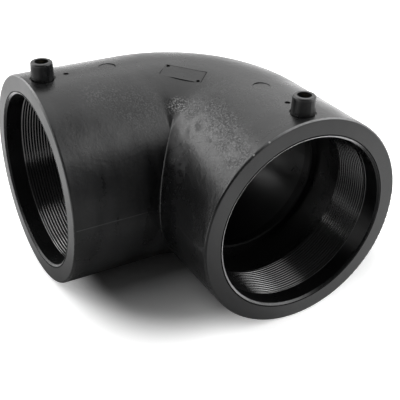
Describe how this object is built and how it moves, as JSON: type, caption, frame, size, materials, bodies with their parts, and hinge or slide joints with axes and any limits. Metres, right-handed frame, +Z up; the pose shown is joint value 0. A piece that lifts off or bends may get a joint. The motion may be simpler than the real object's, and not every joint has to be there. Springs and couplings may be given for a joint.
{
  "type": "electrofusion elbow",
  "caption": "Right-angle polyethylene pipe elbow that welds onto pipe ends by its built-in heating wire, with a contact terminal on each socket.",
  "frame": {"origin": "on the surface the elbow lies on, under the middle of its outline", "axes": "+X out of the right socket's mouth, -Y out of the left socket's mouth, +Z up along the terminals"},
  "size_m": [0.2174, 0.2174, 0.1667],
  "materials": {
    "body": "black polyethylene as moulded, with a soft sheen",
    "wire_coat": "black coated wire, smooth",
    "terminal": "turned brass",
    "indicator": "black polyethylene pin"
  },
  "bodies": {
    "root": {"body": "body", "heating_wire": "wire_coat", "terminal_pin_left": "terminal", "terminal_pin_right": "terminal", "indicator_pin_left": "indicator", "indicator_pin_right": "indicator"}
  },
  "joints": []
}
